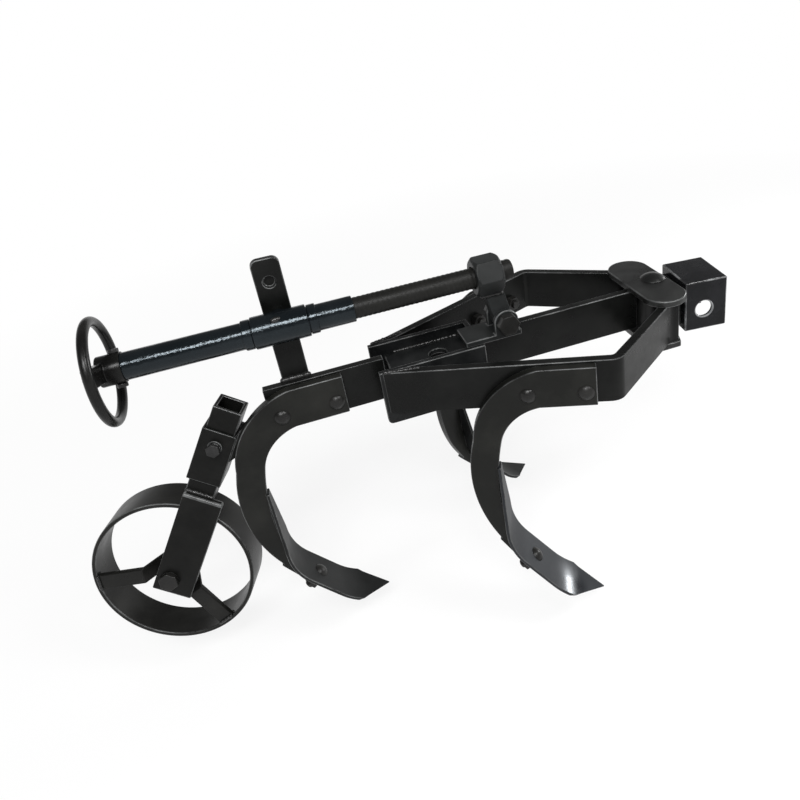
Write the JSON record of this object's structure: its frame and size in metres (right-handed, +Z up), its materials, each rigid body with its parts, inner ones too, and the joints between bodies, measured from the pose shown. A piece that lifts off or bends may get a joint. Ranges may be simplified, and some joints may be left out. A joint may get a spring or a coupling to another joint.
{
  "type": "tine cultivator attachment",
  "caption": "Tine cultivator attachment for a walk-behind tiller: bent-bar frame, curved tines with pointed shovels, depth screw with handwheel, gauge wheel and swinging hitch.",
  "frame": {"origin": "centre of the hitch pin's cross hole, on the axis of the hitch channel's side holes", "axes": "+X forward along the beam to the towing machine, +Y to the left, +Z up"},
  "size_m": [0.6261, 0.2117, 0.3592],
  "materials": {
    "black_paint": "gloss",
    "bright_steel": "satin"
  },
  "bodies": {
    "frame": {"front_beam": "black_paint", "right_cheek": "black_paint", "left_cheek": "black_paint", "deck_plate": "black_paint", "box_front_plate": "black_paint", "right_arm": "black_paint", "left_arm": "black_paint", "hitch_top_plate": "black_paint", "hitch_bottom_plate": "black_paint", "swing_bolt": "black_paint", "swing_nut": "black_paint", "tilt_pin": "black_paint", "tilt_spacers": "black_paint", "nut_clevis": "black_paint", "lug_bolt": "black_paint", "lug_bolt_nut": "black_paint", "right_tine": "black_paint", "left_tine": "black_paint", "right_shovel": "black_paint", "left_shovel": "black_paint", "front_tine_bolts": "black_paint", "front_tine_nuts": "black_paint", "front_shovel_bolts": "black_paint", "front_shovel_nuts": "black_paint"},
    "hitch": {"hitch_knuckle": "black_paint", "hitch_channel": "black_paint"},
    "rear_frame": {"rear_beam": "black_paint", "upright": "black_paint", "rear_tine": "black_paint", "rear_shovel": "black_paint", "rear_tine_bolts": "black_paint", "rear_tine_nuts": "black_paint", "rear_shovel_bolt": "black_paint", "rear_shovel_nut": "black_paint", "wheel_sleeve": "black_paint", "sleeve_gusset": "black_paint", "clamp_bolt": "bright_steel"},
    "wheel_column": {"wheel_post": "black_paint", "side_arm": "black_paint", "axle_bolt": "black_paint", "axle_nut": "black_paint"},
    "gauge_wheel": {"wheel_rim": "black_paint", "wheel_spokes": "black_paint", "wheel_hub": "black_paint"},
    "screw_collar": {"collar": "black_paint", "trunnion_nut": "black_paint"},
    "screw": {"screw_pipe": "black_paint", "threaded_rod": "black_paint", "stop_rings": "black_paint", "handwheel_rim": "black_paint", "handwheel_spokes": "black_paint", "handwheel_pin": "bright_steel"},
    "travelling_nut": {"screw_nut": "black_paint", "nut_lug": "black_paint"}
  },
  "joints": [
    {"name": "hitch_swing", "type": "hinge", "parent": "frame", "child": "hitch", "pos_m": [-0.03916, 0.00516, 0.004], "axis": [0, 0, 1], "range_deg": [-7.5, 22.5]},
    {"name": "handwheel_turn", "type": "hinge", "parent": "screw_collar", "child": "screw", "pos_m": [-0.37816, -0.00724, 0.0805], "axis": [1, 0, 0], "range_deg": [-540, 540]},
    {"name": "beam_pitch", "type": "hinge", "parent": "frame", "child": "rear_frame", "pos_m": [-0.28716, 0.00516, -0.007], "axis": [0, 1, 0], "range_deg": [-5.21, 5.21]},
    {"name": "collar_tilt", "type": "hinge", "parent": "rear_frame", "child": "screw_collar", "pos_m": [-0.37816, -0.00724, 0.0805], "axis": [0, 1, 0], "range_deg": [-2.63, 2.63]},
    {"name": "nut_tilt", "type": "hinge", "parent": "frame", "child": "travelling_nut", "pos_m": [-0.19516, -0.00724, 0.038], "axis": [0, 1, 0], "range_deg": [-2.6, 2.6]},
    {"name": "wheel_height", "type": "slide", "parent": "rear_frame", "child": "wheel_column", "axis": [0.515, 0, 0.8572], "range_m": [-0.02, 0.01]},
    {"name": "wheel_spin", "type": "hinge", "parent": "wheel_column", "child": "gauge_wheel", "pos_m": [-0.52766, 0.02016, -0.1435], "axis": [0.2363, 0.9613, -0.142], "continuous": true}
  ],
  "couplings": [
    {"joint": "beam_pitch", "follows": "handwheel_turn", "ratio": 0.0096162},
    {"joint": "collar_tilt", "follows": "handwheel_turn", "ratio": -0.0048335},
    {"joint": "nut_tilt", "follows": "handwheel_turn", "ratio": 0.0047827}
  ]
}
